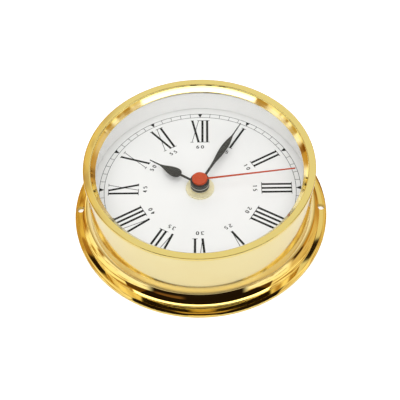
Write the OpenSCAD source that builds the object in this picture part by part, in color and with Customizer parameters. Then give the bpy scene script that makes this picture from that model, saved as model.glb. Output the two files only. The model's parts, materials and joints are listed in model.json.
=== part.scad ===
// Brass marine clock with a screw-down base flange and a one-cell quartz movement.
// The origin is the centre of the mounting face, +Z leaves the dial and +Y points to XII.

/* [Case] */
// Outside diameter of the drum
drum_d = 104.4; // [98:0.2:110]
// Wall of the drum
drum_wall = 0.9; // [0.7:0.1:1.4]
// Height of the drum's top edge over the mounting face
drum_h = 33.8; // [32:0.2:40]
// Width of the hollow moulding at the foot of the drum
cove_w = 4.2; // [3.8:0.1:5]
// Height of the hollow moulding
cove_h = 4.4; // [4:0.1:5.5]
// Lean of the hollow's upper end from the upright, in degrees
cove_lean = 28; // [10:1:32]
// Lean of the hollow's lower end from the upright, in degrees
cove_flare = 59; // [54:1:70]
// Step from the hollow down to the flange
step_h = 0.5; // [0.2:0.1:0.8]
// Thickness of the flange at the step
flange_h = 2.1; // [1.9:0.1:2.6]
// Width of the flange's nearly flat part
flat_w = 2; // [1.6:0.1:3]
// Fall of the flat part towards the rim
flat_fall = 0.1; // [0.05:0.05:0.15]
// Width of the domed part between the flat and the rim
dome_w = 1.6; // [1.4:0.1:2]
// Thickness of the flange at its rim
rim_h = 1.4; // [1.3:0.1:1.5]
// Lean of the dome at the rim from the upright, in degrees
dome_lean = 60; // [55:1:65]
// Diameter of the two mounting holes
mount_hole_d = 3.4; // [2.4:0.1:3.6]
// Distance of a mounting hole's centre from the rim
mount_inset = 2.6; // [2.4:0.1:3]

/* [Bezel and glass] */
// How far the bezel stands out past the drum
bezel_overhang = 0.8; // [0.4:0.1:1.2]
// Width of the bezel's rolled bead
bezel_roll_w = 3.3; // [2.4:0.1:4]
// Height of the bezel's crest over the drum's top edge
bezel_rise = 1.8; // [1.5:0.1:3]
// Height of the bezel's rounded top
bezel_round_h = 1; // [0.8:0.1:1.1]
// How square the rounded top is, 2 is an ellipse
bezel_square = 4; // [2:0.5:5]
// Chamfer under the bezel's outer edge
bezel_foot_w = 0.3; // [0.1:0.1:0.3]
// Reach of the bezel inwards from the drum's outside to the edge over the glass
lip_w = 4.7; // [4.2:0.1:6]
// Depth of the lip's upper edge below the drum's top edge
lip_drop = 1.3; // [1:0.1:1.6]
// Thickness of the lip's edge
lip_t = 0.5; // [0.3:0.1:0.8]
// Thickness of the bezel's skirt inside the drum
skirt_t = 0.6; // [0.4:0.1:0.8]
// Length of the bezel's skirt below its lip
skirt_h = 3.5; // [3:0.1:5]
// Thickness of the glass
glass_t = 2; // [1.5:0.1:2.2]
// Thickness of the seal over the glass
gasket_t = 0.5; // [0.3:0.1:0.7]
// Width of the seal
gasket_w = 2; // [1:0.1:2.2]
// Wall of the white ring between dial and glass
spacer_wall = 0.5; // [0.4:0.05:0.8]
// Width of that ring's shelf under the glass
shelf_w = 1; // [0.6:0.1:1.4]

/* [Back] */
// Width of the recess behind the drum that takes the back plate
recess_w = 3.6; // [3.4:0.1:4]
// Thickness of the back plate
back_t = 1; // [0.8:0.1:1.4]
// Wall of the ring that stands between back plate and dial
rear_ring_wall = 1.9; // [1.2:0.1:3]
// Thread diameter of the back plate's screws
back_screw_d = 1.6; // [1.2:0.1:2]
// Length of the back plate's screws
back_screw_l = 2.6; // [2:0.1:2.8]

/* [Dial and hands] */
// Thickness of the dial
dial_t = 0.8; // [0.5:0.1:1.2]
// Diameter of the round nut that holds the movement
nut_d = 13.3; // [11:0.1:16]
// Thickness of that nut
nut_t = 1.2; // [0.8:0.1:2]
// Diameter of the hour and minute hands' bosses
boss_d = 8.8; // [7:0.1:10]
// Height of the hour hand's boss
hour_boss_h = 1.85; // [1.4:0.05:2.4]
// Height of the minute hand's boss
minute_boss_h = 2.45; // [1.6:0.05:3]
// Diameter of the second hand's cap
cap_d = 7.1; // [5:0.1:9]
// Height of the second hand's cap
cap_h = 1.2; // [1:0.1:2]
// Thickness of the hands' blades
hand_t = 0.5; // [0.3:0.05:0.8]
// Length of the hour hand from the arbor to its tip
hour_len = 28.1; // [24:0.1:34]
// Width of the hour hand's leaf
hour_leaf_w = 5.4; // [3:0.1:7]
// Distance of the hour hand's leaf from the arbor
hour_leaf_from = 10.7; // [8:0.1:14]
// Length of the hour hand's leaf
hour_leaf_l = 11.8; // [8:0.1:13]
// Length of the minute hand
minute_len = 41.6; // [36:0.1:45]
// Width of the minute hand's leaf
minute_leaf_w = 3.2; // [2:0.1:5]
// Distance of the minute hand's leaf from the arbor
minute_leaf_from = 10.4; // [6:0.1:14]
// Length of the minute hand's leaf
minute_leaf_l = 22.9; // [16:0.1:25]
// Length of the second hand
second_len = 44.9; // [38:0.1:47]
// Bearing of the hour hand at rest, clockwise from XII
hour_at = 302.4; // [0:0.1:360]
// Bearing of the minute hand at rest
minute_at = 28.4; // [0:0.1:360]
// Bearing of the second hand at rest
second_at = 82.4; // [0:0.1:360]

/* [Movement] */
// Diameter of the cell
cell_d = 14.2; // [13.6:0.1:14.8]
// Length of the cell with its contact nub
cell_l = 50.5; // [49:0.1:53]
// Wall of the movement's housing
housing_wall = 1.2; // [1:0.1:1.6]
// Thickness of the rubber washer between movement and dial
washer_t = 0.5; // [0.3:0.1:1]
// Diameter of the threaded bushing through the dial
bushing_d = 8; // [7.4:0.1:9]
// Thickness of the toothed wheels
gear_t = 0.8; // [0.6:0.05:0.95]
// Free height between one wheel of the running train and the next
train_gap = 0.5; // [0.4:0.05:0.6]
// Distance from the hands' axis to the third wheel's axis
third_axis_r = 9.5; // [9:0.1:10.5]
// Distance from the hands' axis to the step wheel's axis
step_axis_r = 9.7; // [9.3:0.1:10.5]
// Distance from the step wheel's axis to the rotor's axis
rotor_axis_r = 8.75; // [8.4:0.05:9.5]
// Diameter of the second hand's arbor
second_arbor_d = 1; // [0.8:0.05:1.1]
// Diameter of the minute hand's tube
minute_tube_d = 3.2; // [3:0.05:3.4]
// Diameter of the hour hand's tube
hour_tube_d = 5; // [4.8:0.05:5.2]
// Diameter of the setting knob
knob_d = 8; // [6:0.1:10]
// Diameter of the rotor's magnet
magnet_d = 5; // [4:0.1:5.4]
// Diameter of the coil over its wire
coil_d = 5.2; // [4.6:0.1:5.4]

/* [Hidden] */
$fn = 96;

// Overshoot of cutting bodies
cut = 1;
// Radial room of a turning fit
fit = 0.06;
// Radial room of a seat that doesn't turn
seat = 0.03;
// Room between stacked pieces that turn apart
slip = 0.05;
// Room around pieces dropped into a bore or recess
drop_in = 0.1;
// Room past the end of a blind hole's pin or screw
blind = 0.1;

// Case radii
drum_r = drum_d / 2;
bore_r = drum_r - drum_wall;
cove_foot = [drum_r + cove_w, flange_h + step_h];
cove_head = [drum_r, cove_foot[1] + cove_h];
flat_r = cove_foot[0] + flat_w;
flat_h = flange_h - flat_fall;
flat_lean = atan(flat_w / flat_fall);
base_r = flat_r + dome_w;
mount_r = base_r - mount_inset;
// Back plate and its screws
recess_r = bore_r + recess_w;
back_r = recess_r - drop_in;
screw_circle_r = (bore_r + recess_r) / 2;
screw_head_d = 1.75 * back_screw_d;
screw_count = 4;
screw_slot_w = 0.3;
screw_slot_depth = 0.35;

// Bezel levels and radii
bezel_r = drum_r + bezel_overhang;
lip_r = drum_r - lip_w;
lip_top = drum_h - lip_drop;
lip_bottom = lip_top - lip_t;
skirt_r = bore_r - seat;
skirt_in_r = skirt_r - skirt_t;
skirt_bottom = lip_bottom - skirt_h;
bezel_half_w = bezel_roll_w / 2;
bezel_axis_z = drum_h + bezel_rise - bezel_round_h;

// Movement heights, from the back forwards
rear_room = 0.7;
cell_room = 0.4;
rear_z = rear_room;
front_z = rear_z + cell_d + 2 * cell_room;
split_z = (rear_z + front_z) / 2;
front_in_z = front_z - housing_wall;
dial_back_z = front_z + washer_t;
dial_z = dial_back_z + dial_t;
bushing_proud = 0.7;
bushing_top = dial_z + nut_t + bushing_proud;
bushing_collar_w = 1.5;
bushing_collar_r = bushing_d / 2 + bushing_collar_w;
washer_w = 5;
nut_notch_r = 0.35;
nut_notch_count = 24;

// Glass stack
glass_top = lip_bottom - gasket_t;
glass_bottom = glass_top - glass_t;
glass_r = skirt_in_r - drop_in;

// Hands, from the dial outwards
boss_r = boss_d / 2;
hand_gap = 0.2;
blade_inset = 0.2;
tube_short = 0.1;
cap_skin = 0.5;
blade_lap = 1;
blade_root = boss_r - blade_lap;
// Powers of a leaf's swell from its stem and of its taper to its needle
hour_leaf_form = [0.55, 1.5];
minute_leaf_form = [2, 1.4];
hour_stem_w = 1.1;
minute_stem_w = 1.2;
needle_w = 0.3;
second_root_w = 0.9;
second_tip_w = 0.6;
hour_boss_z = bushing_top + hand_gap;
hour_boss_top = hour_boss_z + hour_boss_h;
minute_boss_z = hour_boss_top + hand_gap;
minute_boss_top = minute_boss_z + minute_boss_h;
cap_z = minute_boss_top + hand_gap;
cap_top = cap_z + cap_h;
hour_blade_z = hour_boss_top - hand_t - blade_inset;
minute_blade_z = minute_boss_z + blade_inset;
second_blade_z = cap_z + tube_short;

// Wheel train, from the front of the movement backwards
wheel_room = 0.5;
motion_gap = 0.7;
plate_gap = 0.4;
hour_gear_z = front_in_z - wheel_room - gear_t;
motion_gear_z = hour_gear_z - motion_gap - gear_t;
bridge_t = 0.8;
bridge_top = motion_gear_z - plate_gap;
bridge_z = bridge_top - bridge_t;
journal_proud = 0.6;
shoulder_z = bridge_z - journal_proud;
centre_gear_z = shoulder_z - slip - gear_t;
spring_t = 0.25;
collar_t = 0.35;
spring_z = centre_gear_z - slip - spring_t;
collar_z = spring_z - collar_t;
third_gear_z = collar_z - plate_gap - gear_t;
second_gear_z = third_gear_z - train_gap - gear_t;
step_gear_z = second_gear_z - train_gap - gear_t;
floor_z = step_gear_z - plate_gap;
floor_t = 1;
floor_back = floor_z - floor_t;
pivot_l = 0.6;
pivot_z = floor_z - pivot_l;
tooth_lap = 0.2;
knob_gap = 0.3;
knob_skin = 0.8;
knob_z = rear_z;
knob_top = floor_back - knob_gap;
knob_flute_r = 0.6;
knob_flute_count = 16;

// Tooth numbers
rotor_teeth = 10;
step_teeth = 60;
step_pinion_teeth = 12;
second_teeth = 60;
second_pinion_teeth = 8;
third_teeth = 60;
third_pinion_teeth = 8;
centre_teeth = 64;
cannon_teeth = 12;
motion_teeth = 36;
motion_pinion_teeth = 10;
hour_teeth = 40;
// Tooth form
pressure_angle = 25;
wheel_addendum = 0.7;
pinion_addendum = 0.9;
tooth_root_room = 0.25;
tooth_thinning = 0.03;
flank_steps = 2;

// Modules from the axis distances
rotor_module = mesh_module(rotor_axis_r, rotor_teeth, step_teeth);
step_module = mesh_module(step_axis_r, step_pinion_teeth, second_teeth);
second_module = mesh_module(third_axis_r, second_pinion_teeth, third_teeth);
third_module = mesh_module(third_axis_r, third_pinion_teeth, centre_teeth);
centre_tip_r = wheel_tip(third_module, centre_teeth);
second_tip_r = wheel_tip(step_module, second_teeth);
// The motion arbor passes beside the centre and second wheels
arbor_d = 1;
motion_arbor_d = 1.6;
arbor_room = 0.7;
motion_axis_r = max(centre_tip_r, second_tip_r) + motion_arbor_d / 2 + arbor_room;
journal_wall = 0.65;
spring_w = 1.4;
collar_w = 0.9;
motion_module = mesh_module(motion_axis_r, cannon_teeth, motion_teeth);
hour_module = mesh_module(motion_axis_r, motion_pinion_teeth, hour_teeth);
hour_tip_r = wheel_tip(hour_module, hour_teeth);

// Axes around the hands' axis
centre_at = [0, 0];
third_at = polar(third_axis_r, 155);
step_at = polar(step_axis_r, 80);
motion_at = polar(motion_axis_r, 10);
rotor_at = step_at + polar(rotor_axis_r, 45);

// Motor around the rotor
stator_t = 1;
air_gap = 0.35;
pole_neck = 0.4;
magnet_proud = 0.4;
stator_w = magnet_d + 2 * (air_gap + pole_neck);
stator_z = second_gear_z - tooth_lap;
stator_reach = 20;
stator_overhang = 5.5;
stator_left = rotor_at.x - stator_reach;
stator_right = rotor_at.x + stator_overhang;
stator_tab = 3.5;
core_w = 2.8;
coil_r = coil_d / 2;
bobbin_proud = 0.2;
bobbin_r = coil_r + bobbin_proud;
bobbin_wall = 0.3;
barrel_r = norm([core_w, stator_t]) / 2 + bobbin_wall;
bobbin_flange_t = 0.8;
coil_gap = 1.2;
tab_gap = 0.5;
coil_y = rotor_at.y + stator_w / 2 + bobbin_r + coil_gap;
core_z = stator_z + stator_t;
core_top = core_z + stator_t;
coil_z = core_z + stator_t / 2;
coil_left = stator_left + stator_tab + tab_gap;
coil_right = stator_right - stator_tab - tab_gap;
motor_screw_d = 1.2;
motor_screw_head_d = 2.1;
motor_screw_head_h = 0.6;
motor_post_wall = 0.9;
motor_screw_rise = 0.3;
motor_screw_z = floor_z + motor_screw_rise;

// Movement plan
contact_t = 0.4;
leaf_l = 2.3;
inner_half_w = (cell_l + 2 * contact_t + leaf_l) / 2;
outer_half_w = inner_half_w + housing_wall;
partition_t = 1;
bay_room = 0.85;
gear_bay_bottom = -max(centre_tip_r, second_tip_r, hour_tip_r) - wheel_room - contact_t;
cell_bay_top = gear_bay_bottom - partition_t;
cell_y = cell_bay_top - cell_d / 2 - bay_room;
cell_bay_bottom = cell_y - cell_d / 2 - bay_room;
gear_bay_top = coil_y + bobbin_r + bay_room;
housing_bottom = cell_bay_bottom - housing_wall;
housing_top = gear_bay_top + housing_wall;
cell_z = split_z;
cell_r = cell_d / 2;
nub_l = 1;
nub_r = 2.6;
slot_room = 0.2;
window_room = 0.5;

// Pillars that carry the gear bridge
pillar_r = 1.5;
pillar_pin_r = 0.8;
pillar_gap = 1;
bridge_margin = 0.7;
bridge_edge = pillar_r + bridge_margin;
pillar_x = stator_right + pillar_gap + pillar_r;
pillar_low_y = gear_bay_bottom + contact_t + pillar_gap + pillar_r;
pillar_high_y = rotor_at.y - pillar_pin_r;
pillars = [for (x = [-pillar_x, pillar_x], y = [pillar_low_y, pillar_high_y]) [x, y]];

// Circuit board beside the left pillars
board_t = 1;
board_post_h = 1;
board_gap = 0.6;
board_z = floor_z + board_post_h;
board_top = board_z + board_t;
board_left = -inner_half_w + contact_t + drop_in;
board_right = -pillar_x - pillar_r - board_gap;
board_x = (board_left + board_right) / 2;
board_low = gear_bay_bottom + contact_t + board_gap;
board_high = gear_bay_top - board_gap;
board_post_r = 1.2;
board_post_inset = 3;
board_posts = [for (y = [board_low + board_post_inset, board_high - board_post_inset]) [board_x, y]];
chip_r = 2.4;
chip_h = 1.1;
chip_inset = 8;
chip_y = board_high - chip_inset;
crystal_r = 1;
crystal_l = 6;
crystal_inset = 12;
crystal_y = board_low + crystal_inset;
contact_w = 8;
strip_top = split_z - drop_in;
tab_l = 2.8;

// Colours
brass = [0.83, 0.66, 0.3];
pale_brass = [0.9, 0.84, 0.62];
white = [0.94, 0.94, 0.92];
black = [0.12, 0.12, 0.12];
signal_red = [0.85, 0.28, 0.12];
steel = [0.7, 0.71, 0.73];
nylon = [0.9, 0.9, 0.86];
rubber = [0.08, 0.08, 0.08];
copper = [0.72, 0.4, 0.2];
board_green = [0.1, 0.36, 0.2];

// Point at a distance and angle from the hands' axis
function polar(r, a) = [r * cos(a), r * sin(a)];
// Direction from one axis to another
function heading(from, to) = atan2(to.y - from.y, to.x - from.x);
// Points of an elliptical arc
function arc(centre, rx, ry, from, to, steps) =
    [for (i = [0 : steps]) let (a = from + (to - from) * i / steps) centre + [rx * cos(a), ry * sin(a)]];
// Upper half of a squarish oval, from left to right
function squared(centre, rx, ry, power, steps) =
    [for (i = [0 : steps]) let (a = 180 - 180 * i / steps)
        centre + [rx * sign(cos(a)) * pow(abs(cos(a)), 2 / power), ry * pow(sin(a), 2 / power)]];
// Points of a curve that leaves a towards b and reaches c from b
function bend(a, b, c, steps) =
    [for (i = [0 : steps]) let (t = i / steps) pow(1 - t, 2) * a + 2 * t * (1 - t) * b + pow(t, 2) * c];
// Point where two lines cross, each given by a point and its lean from the upright
function turning(head, head_lean, foot, foot_lean) =
    let (drop = (foot[0] - head[0] - (head[1] - foot[1]) * tan(foot_lean)) / (tan(head_lean) - tan(foot_lean)))
    head + drop * [tan(head_lean), -1];
// Module that gives two tooth numbers an axis distance
function mesh_module(distance, a, b) = 2 * distance / (a + b);
// Tip radius of a wheel
function wheel_tip(module_size, teeth) = module_size * (teeth / 2 + wheel_addendum);
// Angle that an involute has unwound at a pressure angle
function unwound(a) = tan(a) * 180 / PI - a;
// Half the angle of a tooth at a radius
function tooth_half(r, pitch_r, base_circle, teeth) =
    90 / teeth - tooth_thinning / pitch_r * 180 / PI + unwound(pressure_angle)
    - unwound(acos(min(1, base_circle / r)));
// Outline of a toothed wheel with a tooth on +X
function gear_outline(module_size, teeth, addendum, dedendum) =
    let (pitch_r = module_size * teeth / 2,
         base_circle = pitch_r * cos(pressure_angle),
         tip_r = pitch_r + addendum * module_size,
         root_r = pitch_r - dedendum * module_size,
         start_r = max(base_circle, root_r),
         rise = [for (i = [0 : flank_steps]) start_r + (tip_r - start_r) * i / flank_steps],
         radii = root_r < base_circle ? concat([root_r], rise) : rise,
         last = len(radii) - 1)
    [for (t = [0 : teeth - 1])
        for (k = [0 : 2 * last + 1])
            let (up = k <= last,
                 r = radii[up ? k : 2 * last + 1 - k],
                 half = tooth_half(max(r, base_circle), pitch_r, base_circle, teeth))
            polar(r, t * 360 / teeth + (up ? -half : half))];
// Leaf shape between 0 and 1 that peaks at 1
function leaf(t, form) =
    let (peak = form[0] / (form[0] + form[1]))
    pow(t / peak, form[0]) * pow((1 - t) / (1 - peak), form[1]);

// Hand pointing along +X: a stem, a leaf between two radii, then a needle to the tip
function hand_outline(length, stem_w, leaf_w, leaf_from, leaf_to, form) =
    let (steps = 20,
         leaf_edge = [for (i = [0 : steps])
             let (t = i / steps,
                  base_w = stem_w + (2 * needle_w - stem_w) * t)
             [leaf_from + (leaf_to - leaf_from) * t, (base_w + (leaf_w - base_w) * leaf(t, form)) / 2]],
         edge = concat([[blade_root, stem_w / 2]], leaf_edge, [[length, needle_w / 2]]),
         last = len(edge) - 1)
    concat(edge, [for (i = [0 : last]) [edge[last - i].x, -edge[last - i].y]]);

module disc(r, from, to) {
    translate([0, 0, from])
        cylinder(r = r, h = to - from);
}

module ring(outer, inner, from, to) {
    difference() {
        disc(outer, from, to);
        disc(inner, from - cut, to + cut);
    }
}

module block(from, to) {
    translate(from)
        cube(to - from);
}

module at(place) {
    translate([place.x, place.y, 0])
        children();
}

// Solid wheel or pinion on its axis with its first tooth at the angle turn
module toothed(module_size, teeth, is_wheel, from, to, turn) {
    addendum = is_wheel ? wheel_addendum : pinion_addendum;
    dedendum = (is_wheel ? pinion_addendum : wheel_addendum) + tooth_root_room;
    translate([0, 0, from])
        rotate([0, 0, turn])
            linear_extrude(to - from)
                polygon(gear_outline(module_size, teeth, addendum, dedendum));
}

// Driving side of a mesh: a tooth on the line of centres
module pinion_at(module_size, teeth, from, to, own, mate) {
    at(own)
        toothed(module_size, teeth, false, from, to, heading(own, mate));
}

// Driven side of a mesh: a gap on the line of centres
module wheel_at(module_size, teeth, from, to, own, mate) {
    at(own)
        toothed(module_size, teeth, true, from, to, heading(own, mate) + 180 / teeth);
}

module hand_blade(outline, level, bearing) {
    translate([0, 0, level])
        rotate([0, 0, 90 - bearing])
            linear_extrude(hand_t)
                polygon(outline);
}

// Spun drum and flange in one piece, recessed behind for the back plate
module case_shell() {
    color(brass)
        difference() {
            rotate_extrude()
                polygon(concat(
                    [[bore_r, drum_h], [drum_r, drum_h]],
                    bend(cove_head, turning(cove_head, cove_lean, cove_foot, cove_flare), cove_foot, 10),
                    [[cove_foot[0], flange_h]],
                    bend([flat_r, flat_h], turning([flat_r, flat_h], flat_lean, [base_r, rim_h], dome_lean),
                        [base_r, rim_h], 8),
                    [[base_r, 0], [recess_r, 0], [recess_r, back_t], [bore_r, back_t]]));
            for (side = [-1, 1])
                translate([side * mount_r, 0, -cut])
                    cylinder(d = mount_hole_d, h = cove_head[1]);
            back_screw_places()
                disc(back_screw_d / 2 + seat, back_t - cut, back_screw_l + blind);
        }
}

// Rolled ring with a skirt inside the drum
module bezel_ring() {
    color(brass)
        rotate_extrude()
            polygon(concat(
                [[lip_r, lip_bottom], [lip_r, lip_top]],
                squared([bezel_r - bezel_half_w, bezel_axis_z], bezel_half_w, bezel_round_h, bezel_square, 20),
                [[bezel_r, drum_h + bezel_foot_w], [bezel_r - bezel_foot_w, drum_h], [skirt_r, drum_h],
                 [skirt_r, skirt_bottom], [skirt_in_r, skirt_bottom], [skirt_in_r, lip_bottom]]));
}

module glass_gasket() {
    color(rubber)
        ring(glass_r, glass_r - gasket_w, glass_top, lip_bottom);
}

module glass_lens() {
    color([0.85, 0.92, 0.92, 0.3])
        disc(glass_r, glass_bottom, glass_top);
}

// White wall between dial and glass, stepped in to pass inside the bezel's skirt
module spacer_ring() {
    out_r = bore_r - drop_in;
    step_z = skirt_bottom - drop_in;
    color(white)
        rotate_extrude()
            polygon([[out_r, dial_z], [out_r, step_z], [glass_r, step_z], [glass_r, glass_bottom],
                [glass_r - shelf_w, glass_bottom], [out_r - spacer_wall, dial_z]]);
}

module dial_plate() {
    color(white)
        ring(bore_r - drop_in, bushing_d / 2 + drop_in, dial_back_z, dial_z);
}

// Plastic ring that holds the dial forward from the back plate
module rear_ring() {
    color(black)
        ring(bore_r - drop_in, bore_r - rear_ring_wall, back_t, dial_back_z);
}

module back_screw_places() {
    for (i = [0 : screw_count - 1])
        rotate([0, 0, 45 + i * 360 / screw_count])
            translate([screw_circle_r, 0, 0])
                children();
}

// Countersunk screw standing on its flush head
module back_screw(room) {
    head_r = screw_head_d / 2;
    thread_r = back_screw_d / 2;
    disc(thread_r + room, 0, back_screw_l);
    cylinder(r1 = head_r + room, r2 = thread_r + room, h = head_r - thread_r);
}

module back_plate() {
    color(black)
        difference() {
            disc(back_r, 0, back_t);
            block([-outer_half_w - window_room, housing_bottom - window_room, -cut],
                [outer_half_w + window_room, housing_top + window_room, back_t + cut]);
            back_screw_places()
                back_screw(seat);
        }
}

module back_screws() {
    color(steel)
        back_screw_places()
            difference() {
                back_screw(0);
                block([-screw_head_d, -screw_slot_w / 2, -cut],
                    [screw_head_d, screw_slot_w / 2, screw_slot_depth]);
            }
}

// Round nut with a notched rim
module fixing_nut() {
    color(pale_brass)
        difference() {
            ring(nut_d / 2, bushing_d / 2 + seat, dial_z, dial_z + nut_t);
            for (i = [0 : nut_notch_count - 1])
                rotate([0, 0, i * 360 / nut_notch_count])
                    translate([nut_d / 2, 0, dial_z - cut])
                        cylinder(r = nut_notch_r, h = nut_t + 2 * cut, $fn = 16);
        }
}

module rubber_washer() {
    color(rubber)
        ring(bushing_d / 2 + washer_w, bushing_d / 2 + drop_in, front_z, dial_back_z);
}

// Brass thread carrier held by its collar in the front housing
module threaded_bushing() {
    color(pale_brass)
        difference() {
            union() {
                disc(bushing_collar_r, front_in_z, front_z);
                disc(bushing_d / 2, front_z, bushing_top);
            }
            disc(hour_tube_d / 2 + fit, front_in_z - cut, bushing_top + cut);
        }
}

// Front half of the movement's box, with a slot for the crest of the cell
module front_housing() {
    slot_half = sqrt(pow(cell_r + drop_in, 2) - pow(front_in_z - cell_z, 2)) + slot_room;
    color(black)
        difference() {
            block([-outer_half_w, housing_bottom, split_z], [outer_half_w, housing_top, front_z]);
            block([-inner_half_w, gear_bay_bottom, split_z - cut], [inner_half_w, gear_bay_top, front_in_z]);
            block([-inner_half_w, cell_bay_bottom, split_z - cut], [inner_half_w, cell_bay_top, front_in_z]);
            block([-inner_half_w, cell_y - slot_half, front_in_z - cut],
                [inner_half_w, cell_y + slot_half, front_z + cut]);
            disc(bushing_collar_r + seat, front_in_z - cut, front_z + cut);
            at(motion_at)
                disc(motion_arbor_d / 2 + fit, front_in_z - cut, front_in_z + pivot_l + blind);
        }
}

// Rear half: an open bay for the cell, a raised floor behind the wheels, pillars and bearings
module rear_housing() {
    color(black)
        difference() {
            union() {
                difference() {
                    block([-outer_half_w, housing_bottom, rear_z], [outer_half_w, housing_top, split_z]);
                    block([-inner_half_w, cell_bay_bottom, rear_z - cut],
                        [inner_half_w, cell_bay_top, split_z + cut]);
                    block([-inner_half_w, gear_bay_bottom, floor_z],
                        [inner_half_w, gear_bay_top, split_z + cut]);
                    block([-outer_half_w - cut, gear_bay_bottom, rear_z - cut],
                        [outer_half_w + cut, housing_top + cut, floor_back]);
                }
                for (place = pillars)
                    at(place) {
                        disc(pillar_r, floor_z, bridge_z);
                        disc(pillar_pin_r, bridge_z, bridge_top);
                    }
                for (place = board_posts)
                    at(place)
                        disc(board_post_r, floor_z, board_z);
                motor_screw_places()
                    disc(motor_screw_d / 2 + motor_post_wall, floor_z, stator_z);
            }
            for (place = [centre_at, third_at, step_at, rotor_at])
                at(place)
                    disc(arbor_hole(place), pivot_z - blind, floor_z + cut);
            at(motion_at)
                disc(motion_arbor_d / 2 + fit, floor_back - cut, floor_z + cut);
            motor_screw_places()
                disc(motor_screw_d / 2 + seat, motor_screw_z - blind, stator_z + cut);
            for (side = [-1, 1])
                block([side * inner_half_w - contact_t - drop_in, cell_bay_top - cut, board_top - drop_in],
                    [side * inner_half_w + contact_t + drop_in, gear_bay_bottom + cut, split_z + cut]);
        }
}

function arbor_hole(place) = (place == centre_at ? second_arbor_d : arbor_d) / 2 + fit;

// Plate over the running train that carries its front pivots
module gear_bridge() {
    color(nylon)
        difference() {
            block([-pillar_x - bridge_edge, pillar_low_y - bridge_edge, bridge_z],
                [pillar_x + bridge_edge, pillar_high_y + bridge_edge, bridge_top]);
            disc(minute_tube_d / 2 + journal_wall + fit, bridge_z - cut, bridge_top + cut);
            for (place = [third_at, step_at, rotor_at])
                at(place)
                    disc(arbor_d / 2 + fit, bridge_z - cut, bridge_top + cut);
            at(motion_at)
                disc(motion_arbor_d / 2 + fit, bridge_z - cut, bridge_top + cut);
            for (place = pillars)
                at(place)
                    disc(pillar_pin_r + seat, bridge_z - cut, bridge_top + cut);
        }
}

module circuit_board() {
    color(board_green)
        block([board_left, board_low, board_z], [board_right, board_high, board_top]);
}

// Drop of resin over the timing circuit
module control_chip() {
    color(black)
        at([board_x, chip_y])
            translate([0, 0, board_top])
                rotate_extrude()
                    polygon(concat([[0, 0]], arc([0, 0], chip_r, chip_h, 0, 90, 8)));
}

module quartz_crystal() {
    color(steel)
        translate([board_x, crystal_y, board_top + crystal_r])
            rotate([-90, 0, 0])
                cylinder(r = crystal_r, h = crystal_l);
}

module motor_screw_places() {
    for (x = [stator_left + stator_tab / 2, stator_right - stator_tab / 2])
        at([x, coil_y])
            children();
}

// Soft iron plate: a strip around the rotor and two tabs up to the core
module motor_stator() {
    color(steel)
        difference() {
            union() {
                block([stator_left, rotor_at.y - stator_w / 2, stator_z],
                    [stator_right, rotor_at.y + stator_w / 2, core_z]);
                for (x = [stator_left, stator_right - stator_tab])
                    block([x, rotor_at.y, stator_z], [x + stator_tab, coil_y + core_w / 2, core_z]);
            }
            at(rotor_at)
                disc(magnet_d / 2 + air_gap, stator_z - cut, core_z + cut);
            motor_screw_places()
                disc(motor_screw_d / 2 + seat, stator_z - cut, core_z + cut);
        }
}

module motor_core() {
    color(steel)
        difference() {
            block([stator_left, coil_y - core_w / 2, core_z], [stator_right, coil_y + core_w / 2, core_top]);
            motor_screw_places()
                disc(motor_screw_d / 2 + seat, core_z - cut, core_top + cut);
        }
}

// Round bar along the coil's axis
module along_coil(r, from, to) {
    translate([from, coil_y, coil_z])
        rotate([0, 90, 0])
            cylinder(r = r, h = to - from);
}

module coil_bobbin() {
    color(nylon)
        difference() {
            union() {
                along_coil(barrel_r, coil_left, coil_right);
                along_coil(bobbin_r, coil_left, coil_left + bobbin_flange_t);
                along_coil(bobbin_r, coil_right - bobbin_flange_t, coil_right);
            }
            block([coil_left - cut, coil_y - core_w / 2 - seat, core_z - seat],
                [coil_right + cut, coil_y + core_w / 2 + seat, core_top + seat]);
        }
}

module drive_coil() {
    color(copper)
        difference() {
            along_coil(coil_r, coil_left + bobbin_flange_t, coil_right - bobbin_flange_t);
            along_coil(barrel_r + seat, coil_left, coil_right);
        }
}

module motor_screws() {
    color(steel)
        motor_screw_places() {
            disc(motor_screw_d / 2, motor_screw_z, core_top);
            disc(motor_screw_head_d / 2, core_top, core_top + motor_screw_head_h);
        }
}

// Round bar along the cell's axis
module along_cell(r, from, to) {
    translate([from, cell_y, cell_z])
        rotate([0, 90, 0])
            cylinder(r = r, h = to - from);
}

module power_cell() {
    left = -inner_half_w + contact_t;
    color([0.32, 0.34, 0.38]) {
        along_cell(nub_r, left, left + nub_l);
        along_cell(cell_r, left + nub_l, left + cell_l);
    }
}

// Contact plate on the end wall, with an arm through the partition to a tab on the circuit board
module positive_contact() {
    left = -inner_half_w;
    color(steel) {
        block([left, cell_y - contact_w / 2, cell_z - contact_w / 2],
            [left + contact_t, cell_y + contact_w / 2, cell_z + contact_w / 2]);
        block([left, cell_y, board_top], [left + contact_t, board_low + tab_l, strip_top]);
        block([left, board_low, board_top], [left + tab_l, board_low + tab_l, board_top + contact_t]);
    }
}

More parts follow.
